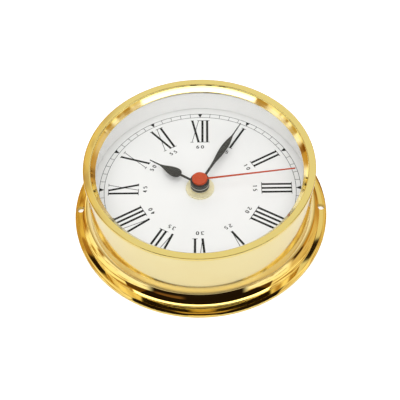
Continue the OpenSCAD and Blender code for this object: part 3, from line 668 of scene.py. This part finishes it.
def drilled(made, cutter_skin):
    """Takes the cutter's shape out of a piece."""
    points, faces = cutter_skin
    mesh = bpy.data.meshes.new("cutter")
    mesh.from_pydata(points * MM, [], faces)
    cutter = bpy.data.objects.new("cutter", mesh)
    bpy.context.scene.collection.objects.link(cutter)
    cut = made.modifiers.new("holes", "BOOLEAN")
    cut.operation = "DIFFERENCE"
    cut.solver = "EXACT"
    cut.object = cutter
    settle(made)
    shade(made, crisp)
    bpy.data.objects.remove(cutter)
    bpy.data.meshes.remove(mesh)


def squared(centre, half_w, half_h, power, steps=48):
    """Upper half of a squarish oval, from right to left: (|x| / half_w)^power + (z / half_h)^power = 1."""
    angle = np.linspace(0, np.pi, steps)
    x, z = (np.sign(turn) * np.abs(turn) ** (2 / power) for turn in (np.cos(angle), np.sin(angle)))
    return np.stack([centre[0] + half_w * x, centre[1] + half_h * z], -1)


def bezel_profile():
    """Outline of the bezel with the metal on the left: lip, skirt, squarish roll and straight slope."""
    roll_axis = (bezel_r - bezel_half_w, bezel_top - bezel_round_h)
    return np.concatenate([
        [(lip_r, lip_bottom + lip_t), (lip_r, lip_bottom), (skirt_in_r, lip_bottom),
         (skirt_in_r, skirt_bottom), (skirt_r, skirt_bottom), (skirt_r, drum_top),
         (bezel_r - bezel_foot_w, drum_top), (bezel_r, drum_top + bezel_foot_w)],
        squared(roll_axis, bezel_half_w, bezel_round_h, bezel_square),
    ])


case_skin = turned(softened(case_profile(), case_corner))
case = piece("case_body", case_skin, "case", brass, ["case_shell"])
drilled(case, hole_cutter())
bezel_skin = turned(softened(bezel_profile(), bezel_corner))
piece("bezel", bezel_skin, "case", brass, ["bezel_ring"])


# Dial
def spacer_profile():
    """Wall between dial and glass, with a small rebate where it meets the dial."""
    foot_r = spacer_r - spacer_wall
    step_z = skirt_bottom - spacer_gap
    return [(foot_r + rebate_w, dial_z), (spacer_r, dial_z), (spacer_r, step_z), (glass_r, step_z),
            (glass_r, glass_bottom), (glass_r - glass_shelf, glass_bottom), (foot_r, dial_z + rebate_h),
            (foot_r + rebate_w, dial_z + rebate_h)]


spacer_skin = turned(softened(spacer_profile(), spacer_corner))
piece("spacer_wall", spacer_skin, "case", white_plastic, ["spacer_ring"])


def nut_rim(angle):
    """Radius of the nut's rim with round notches at equal steps.

    It is nut_r less the root of nut_notch_r^2 - s^2, where s is the way along the rim to the nearest notch
    and is under nut_notch_r, and nut_r elsewhere.
    """
    step = 2 * np.pi / nut_notches
    aside = nut_r * (np.mod(angle + step / 2, step) - step / 2)
    return nut_r - np.sqrt(np.maximum(nut_notch_r ** 2 - aside ** 2, 0))


nut_profile = [(nut_bore, nut_bottom), (nut_r, nut_bottom), (nut_r, nut_top), (nut_bore, nut_top)]
nut_skin = turned(softened(nut_profile, nut_corner), nut_notches * nut_notch_stops, nut_rim)
piece("nut", nut_skin, "case", pale_brass, ["fixing_nut"])


# Print on the dial: letters stand with their feet at y = 0 and are then moved out and swung round
ink_low = dial_z
ink_high = dial_z + ink_t


def stroke(foot_x, head_x, width, foot_y=0.0, head_y=numeral_h):
    """Straight stroke with level ends."""
    line = np.array([(foot_x, foot_y), (head_x, head_y)])
    half = np.array([width / 2, 0])
    return line - half, line + half


def serif(x, half, y):
    """Level hairline about (x, y)."""
    return stroke(x, x, 2 * half, y - hair_w / 2, y + hair_w / 2)


def letter(sign, x):
    """Strokes of one Roman letter about x, with flat serifs.

    Stems and main diagonals have the full width, the others are hairlines.
    """
    half = letter_step[sign] / 2
    arm = half - arm_inset
    if sign == "I":
        lines = [(x, x, stroke_w)]
        feet, heads, reach = [x], [x], half
    elif sign == "V":
        lines = [(x, x - arm, stroke_w), (x, x + arm, hair_w)]
        feet, heads, reach = [], [x - arm, x + arm], serif_half
    else:
        lines = [(x + arm, x - arm, stroke_w), (x - arm, x + arm, hair_w)]
        feet, heads, reach = [x - arm, x + arm], [x - arm, x + arm], serif_half
    serifs = [serif(place, reach, hair_w / 2) for place in feet]
    serifs += [serif(place, reach, numeral_h - hair_w / 2) for place in heads]
    return [stroke(*line) for line in lines] + serifs


def numeral(signs, bearing):
    """Roman number centred on a bearing."""
    steps = np.array([letter_step[sign] for sign in signs])
    places = np.cumsum(steps) - steps / 2 - steps.sum() / 2
    strokes = [edges for sign, x in zip(signs, places) for edges in letter(sign, x)]
    foot = np.array([0, numeral_foot_r])
    return [swung(bar(left + foot, right + foot, ink_low, ink_high), bearing) for left, right in strokes]


hours = ["I", "II", "III", "IIII", "V", "VI", "VII", "VIII", "IX", "X", "XI", "XII"]
numerals = [skin for hour, signs in enumerate(hours, 1) for skin in numeral(signs, 30 * hour)]
piece("dial_hours", joined(numerals), "case", ink)


def circle_line(radius, width):
    """Flat ring about the hands' axis, from radius - width / 2 to radius + width / 2."""
    ring = arc((0, 0), 1, 1, 360, 0, steps=361)[:-1]
    return bar(ring * (radius - width / 2), ring * (radius + width / 2), ink_low, ink_high, True)


def minute_mark(minute):
    """Tick between the two circles, or a wedge that points inwards at each fifth minute."""
    outer_w, inner_w = (wedge_w, wedge_tip_w) if minute % 5 == 0 else (track_w, track_w)
    left = [(-inner_w / 2, track_in_r), (-outer_w / 2, track_r)]
    right = [(inner_w / 2, track_in_r), (outer_w / 2, track_r)]
    return swung(bar(left, right, ink_low, ink_high), 6 * minute)


marks = [circle_line(track_r, track_w), circle_line(track_in_r, track_w)]
marks += [minute_mark(minute) for minute in range(60)]
piece("dial_track", joined(marks), "case", ink)


# Figures are pen lines on a unit height, each a path and whether it closes
figure_lines = {
    "0": [(arc((0, 0.5), 0.27, 0.47, 90, 450, 33)[:-1], True)],
    "1": [([(0, 0), (0, 0.97)], False), ([(-0.2, 0.78), (-0.02, 0.95)], False)],
    "2": [(np.concatenate([arc((0, 0.70), 0.25, 0.26, 170, -40, 16), [(-0.24, 0.06)]]), False),
          ([(-0.28, 0.05), (0.28, 0.05)], False)],
    "3": [(arc((-0.02, 0.74), 0.23, 0.23, 160, -90, 16), False),
          (arc((-0.02, 0.27), 0.27, 0.25, 90, -160, 16), False)],
    "4": [([(0.1, 0), (0.1, 0.97)], False), ([(0.06, 0.95), (-0.28, 0.3)], False),
          ([(-0.3, 0.28), (0.3, 0.28)], False)],
    "5": [([(0.24, 0.95), (-0.18, 0.95)], False), ([(-0.17, 0.93), (-0.22, 0.52)], False),
          (arc((-0.02, 0.31), 0.26, 0.28, 140, -150, 20), False)],
    "6": [(arc((0, 0.3), 0.25, 0.27, 90, 450, 33)[:-1], True),
          (arc((0.23, 0.3), 0.48, 0.65, 95, 170, 12), False)],
}


def pen(path, closed):
    """Edges of a pen line: thin where the path runs level, over twice as wide where it runs upright."""
    level_half, upright_half = 0.05, 0.12
    path = np.asarray(path, float)
    along = np.roll(path, -1, 0) - np.roll(path, 1, 0) if closed else np.gradient(path, axis=0)
    along /= np.linalg.norm(along, axis=1, keepdims=True)
    half = level_half + (upright_half - level_half) * np.abs(along[:, 1:])
    aside = np.stack([along[:, 1], -along[:, 0]], -1) * half
    return path - aside, path + aside


def minute_number(minute):
    """Small figures on the inner circle, centred on their minute."""
    figures = str(minute)
    skins = []
    for place, figure in enumerate(figures):
        move = np.array([(place - (len(figures) - 1) / 2) * minute_step, minute_foot_r])
        for path, closed in figure_lines[figure]:
            left, right = (edge * minute_h + move for edge in pen(path, closed))
            skins.append(swung(bar(left, right, ink_low, ink_high, closed), 6 * minute))
    return skins


numbers = [skin for minute in range(5, 65, 5) for skin in minute_number(minute)]
piece("dial_minutes", joined(numbers), "case", ink)


# Hands
def leaf(t, swell, taper):
    """Swell of a leaf along its length t, 1 at its widest: a power of t times a power of 1 - t."""
    widest = swell / (swell + taper)
    return (t / widest) ** swell * ((1 - t) / (1 - widest)) ** taper


def blade(reach, widths, low, bearing):
    """Flat blade: a section with bevelled upper edges carried outwards, as wide as widths at each reach.

    The section is given in half widths and in thicknesses.
    """
    section = np.array([(-1, 0), (1, 0), (1, 0.6), (0.8, 1), (-0.8, 1), (-1, 0.6)])
    rings = np.empty((len(reach), len(section), 3))
    rings[:, :, 0] = section[:, 0] * widths[:, None] / 2
    rings[:, :, 1] = reach[:, None]
    rings[:, :, 2] = low + section[:, 1] * blade_t
    return swung(carried(rings, False), bearing)


def leaf_blade(length, stem_w, leaf_w, leaf_from, leaf_l, form, low, bearing):
    """Stem, leaf and point: the leaf stands on a stem that narrows to the point.

    Along the leaf the width is the stem's plus a share, the swell of the leaf, of what it lacks to leaf_w.
    """
    t = np.linspace(0, 1, 40)
    base = stem_w + (point_root_w - stem_w) * t
    widths = base + (leaf_w - base) * leaf(t, *form)
    reach = np.concatenate([[boss_r - blade_lap], leaf_from + leaf_l * t, [length]])
    return blade(reach, np.concatenate([[stem_w], widths, [point_tip_w]]), low, bearing)


def boss(bore_r, low, high):
    """Turned boss about the hands' axis."""
    profile = [(bore_r, low), (boss_r, low), (boss_r, high), (bore_r, high)]
    return turned(softened(profile, boss_corner), round_stops)


def rim(bore_r, low):
    """Bare lower edge of a boss, a hair wider than it."""
    outer = boss_r + rim_over
    profile = [(bore_r, low), (outer, low), (outer, low + rim_shine_h), (bore_r, low + rim_shine_h)]
    return turned(softened(profile, rim_corner), round_stops)


def black_hand(body, skin, bore_r, low, high):
    """Blade, boss and bare boss edge of a black hand, on the body that it is named for."""
    piece(f"{body}_blade", skin, body, black_paint, [f"{body}_hand"], blade_crisp)
    piece(f"{body}_boss", boss(bore_r, low + rim_shine_h, high), body, black_paint)
    piece(f"{body}_boss_rim", rim(bore_r, low), body, rim_metal)


hour_leaf = leaf_blade(**hour_shape, low=hour_high - blade_t - blade_inset, bearing=hour_at)
minute_leaf = leaf_blade(**minute_shape, low=minute_low + blade_inset, bearing=minute_at)
black_hand("hour", hour_leaf, hour_bore_r, hour_low, hour_high)
black_hand("minute", minute_leaf, minute_bore_r, minute_low, minute_high)

needle_reach = np.array([cap_r - blade_lap, needle_l])
needle_widths = np.array([needle_root_w, needle_tip_w])
needle_skin = blade(needle_reach, needle_widths, cap_low + needle_inset, second_at)
piece("second_needle", needle_skin, "second", red_paint, ["second_hand"], blade_crisp)
cap_profile = [(0, cap_low), (cap_r, cap_low), (cap_r, cap_high)]
cap_profile += [(r, cap_high - depth) for r, depth in cap_dimple]
piece("second_cap", turned(softened(cap_profile, cap_corner), round_stops), "second", red_paint)


# Floor, light and camera
studio_dark = (0.016, 0.009, 0.005, 1)
wall_white = (1.3, 1.28, 1.2, 1)


def floor_white(n):
    """Pale floor that shows white to the camera and keeps the shadow on it.

    In the brass and the glass it turns to a dim gold away from the clock.
    """
    near_r, far_r = 84, 140
    camera = n.add("ShaderNodeLightPath", out="Is Camera Ray")
    mirrored = n.math("MAXIMUM", camera.output("Is Glossy Ray"), camera.output("Is Transmission Ray"))
    place = n.place()
    x, y = n.parts(place)[:2]
    near = 1 - n.spread(n.reach(x * 1.3, y), near_r, far_r)
    tone = n.mix(n.noise(place, 0.002, 2.0), (0.84, 0.84, 0.84, 1), (0.87, 0.87, 0.87, 1))
    tone = n.mix(mirrored * (1 - near), tone, (0.45, 0.36, 0.22, 1))
    glow = n.mix(camera * 0.5 + mirrored * near * 0.02, (0, 0, 0, 1), (1, 1, 1, 1))
    return n.coat(Base_Color=tone, Roughness=0.9, Emission_Color=glow, Emission_Strength=1.0)


def studio_ceiling(n):
    """What the brass mirrors from above.

    It is pale at the back and the sides: where y is over 260 mm, y + 1.35 x over 590 mm or y - 1.35 x
    over 480 mm. The pale part is mottled gold on the left and streaked on both sides, has two dark bars at
    the back, and turns brown in front of two lines through the middle. The rest is dark, with a gold patch
    overhead and, at the front, a dim panel, a yellow tongue and a bright arch.
    """
    place = n.place()
    x, y = n.parts(place)[:2]
    oval = n.reach(x * 0.92, y)
    forwards = n.angle(-y, x)
    side = n.math("ABSOLUTE", x)
    pale_side = n.math("MAXIMUM", n.above(y + 1.35 * x, 590, 20), n.above(y - 1.35 * x, 480, 20))
    pale = n.math("MAXIMUM", pale_side, n.above(y, 260, 20))
    left = n.above(-x, 160, 50)
    right = n.above(x, 450, 100)
    sides = n.above(side, 230, 50) * (1 - n.above(y, 380, 40))
    grain = n.noise(n.vector(n.angle(x, y) * 1.2, n.reach(x, y) * 0.004, 0.0), 1.6, 1.0, 0.5)
    streaks = n.spread(grain, 0.4, 0.62) * n.above(side, 300, 60)
    mottle = n.spread(n.noise(place, 0.025, 2.0), 0.42, 0.62)
    front = n.above(n.math("MINIMUM", 0.45 * x - y, -0.57 * x - y), 0, 15)
    bars = n.within(y - 0.08 * x, 442, 505, 8) * n.within(side, 140, 340, 20)
    overhead = n.within(x, -120, 120, 25) * n.within(y, -190, 190, 25)
    inside = 1 - n.above(n.reach(x * 0.8, y), 790, 12)
    panel = n.within(x, -700, 760, 30) * n.above(-y, 530, 20) * inside
    tongue = n.within(x, -110, 110, 30) * n.within(y, -540, -425, 10)
    arch = n.within(forwards, -1.07, 1.07, 0.03) * n.above(oval, 650, 25) * inside
    gold = n.mix(mottle, (0.90, 0.68, 0.28, 1), (0.42, 0.22, 0.06, 1))
    brown = n.mix(n.above(oval, 950, 60), (0.55, 0.34, 0.12, 1), (0.12, 0.055, 0.012, 1))
    warm = n.laid((0.90, 0.88, 0.83, 1), [
        (right, (0.92, 0.82, 0.58, 1)),
        (left, gold),
        (sides, (1.3, 1.27, 1.15, 1)),
        (streaks, (0.55, 0.34, 0.11, 1)),
        (front, brown),
    ])
    tone = n.laid(studio_dark, [
        (pale, warm),
        (bars, (0.02, 0.011, 0.004, 1)),
        (overhead, (0.62, 0.42, 0.16, 1)),
        (panel, (0.42, 0.40, 0.36, 1)),
        (tongue, (1.3, 1.0, 0.4, 1)),
        (arch, (3.0, 3.0, 3.0, 1)),
    ])
    return n.coat(Base_Color=(0, 0, 0, 1), Roughness=1.0, Specular_IOR_Level=0.0, Emission_Color=tone,
                  Emission_Strength=1.0)


def level_sheet(name, half, level, build):
    """Square sheet about the axis that isn't part of the clock, sizes in metres."""
    corners = [(-half, -half, level), (half, -half, level), (half, half, level), (-half, half, level)]
    mesh = bpy.data.meshes.new(name)
    mesh.from_pydata(corners, [], [(0, 1, 2, 3)])
    sheet = bpy.data.objects.new(name, mesh)
    bpy.context.scene.collection.objects.link(sheet)
    mesh.materials.append(finish(name, build))
    return sheet


def make_room():
    """Studio around the clock, by direction, for what the brass mirrors below the ceiling.

    Low streaked walls stand on the left and the right, with straight tops in x / z. The right one is golden
    towards the back. Behind them lie an orange and a brown part, at their feet brown bands, and a dim brown
    patch at the front. What scatters light gets the same pale light from everywhere.
    """
    world = bpy.data.worlds.new("studio")
    bpy.context.scene.world = world
    world.use_nodes = True
    n = Nodes(world.node_tree)
    camera = n.add("ShaderNodeLightPath", out="Is Camera Ray")
    x, y, z = n.parts(n.add("ShaderNodeTexCoord", out="Generated"))
    across = x / n.math("MAXIMUM", z, 0.02)
    leftwards = n.angle(-x, y)
    rightwards = n.angle(x, y)
    grain = n.noise(n.vector(x * 2, y * 2, z * 8), 1.6, 3.0, 0.6)
    streaks = n.spread(grain, 0.53, 0.62)
    patch = n.within(leftwards, -1.3, -0.9, 0.07) * n.within(z, 0.24, 0.47, 0.05)
    left = n.above(-across, 1.9, 0.12) * n.above(leftwards, -0.82, 0.08)
    right = n.above(across, 1.35, 0.1) * n.above(rightwards, -0.93, 0.07)
    brown = n.within(rightwards, 0.5, 1.2, 0.1)
    orange = n.within(leftwards, 0.42, 0.9, 0.06) * n.above(z, 0.1, 0.03)
    right_foot = n.within(rightwards, -0.14, 0.5, 0.05) * (1 - n.above(z + 0.2 * rightwards, 0.17, 0.04))
    left_foot = n.within(leftwards, -0.03, 0.12, 0.04) * (1 - n.above(z, 0.15, 0.04))
    right_tone = n.mix(n.above(rightwards, -0.2, 0.06), wall_white, (0.85, 0.68, 0.45, 1))
    foot_tone = n.mix(n.above(rightwards, 0.1, 0.05), (0.07, 0.03, 0.005, 1), (0.6, 0.31, 0.04, 1))
    tone = n.laid(studio_dark, [
        (patch, (0.20, 0.10, 0.04, 1)),
        (left, n.mix(streaks, wall_white, (0.62, 0.42, 0.14, 1))),
        (right, n.mix(streaks, right_tone, (0.5, 0.32, 0.1, 1))),
        (brown, n.mix(streaks, (0.62, 0.38, 0.14, 1), (0.16, 0.07, 0.015, 1))),
        (orange, n.mix(streaks, (0.66, 0.38, 0.09, 1), (0.25, 0.09, 0.01, 1))),
        (right_foot, foot_tone),
        (left_foot, (0.45, 0.25, 0.08, 1)),
        (camera.output("Is Diffuse Ray"), (0.5, 0.5, 0.503, 1)),
    ])
    room = n.add("ShaderNodeBackground", None, {"Color": tone, "Strength": 1.0})
    white = n.add("ShaderNodeBackground", None, {"Color": (1, 1, 1, 1), "Strength": 1.0})
    surface = n.add("ShaderNodeMixShader", None, {0: camera, 1: room, 2: white})
    n.add("ShaderNodeOutputWorld", None, {"Surface": surface})


def make_lamp(name, place, size, energy):
    """Soft lamp of a width and a depth, turned to the clock. The brass doesn't show it."""
    lamp = bpy.data.lights.new(name, "AREA")
    lamp.shape = "RECTANGLE"
    lamp.size, lamp.size_y = size
    lamp.energy = energy
    holder = bpy.data.objects.new(name, lamp)
    bpy.context.scene.collection.objects.link(holder)
    holder.location = place
    holder.visible_camera = False
    holder.visible_glossy = False
    holder.rotation_euler = Vector(place).to_track_quat("Z", "Y").to_euler()


def make_camera():
    """Camera at the photograph's angle: elevation, azimuth and roll in degrees, sizes in metres."""
    elevation, azimuth, roll = (math.radians(angle) for angle in (51.42, 1.5, -1.87))
    aim, distance = Vector((0, 0, 0.018)), 0.5
    back = Vector((math.sin(azimuth) * math.cos(elevation), -math.cos(azimuth) * math.cos(elevation),
                   math.sin(elevation)))
    right = Vector((math.cos(azimuth), math.sin(azimuth), 0))
    up = back.cross(right)
    right, up = right * math.cos(roll) + up * math.sin(roll), up * math.cos(roll) - right * math.sin(roll)
    camera = bpy.data.cameras.new("camera")
    camera.sensor_width = 36
    camera.lens = 96.3
    camera.shift_y = -0.03155
    holder = bpy.data.objects.new("camera", camera)
    bpy.context.scene.collection.objects.link(holder)
    turn = Matrix((right, up, back)).transposed().to_4x4()
    holder.matrix_world = Matrix.Translation(aim + back * distance) @ turn
    bpy.context.scene.camera = holder


floor_gap = 0.02
level_sheet("floor_white", 1.5, (case_bottom - floor_gap) * MM, floor_white)
ceiling = level_sheet("studio_ceiling", 1.6, 0.8, studio_ceiling)
ceiling.visible_camera = ceiling.visible_diffuse = ceiling.visible_shadow = False
make_room()
make_lamp("top_lamp", (0, -0.2, 0.78), (0.9, 0.9), 4.6)
make_lamp("back_lamp", (0, 0.8, 0.62), (1.4, 0.5), 2.2)
make_lamp("front_lamp", (0, -1.1, 0.4), (1.6, 0.6), 5)
make_camera()
bpy.context.scene.view_settings.view_transform = "Standard"
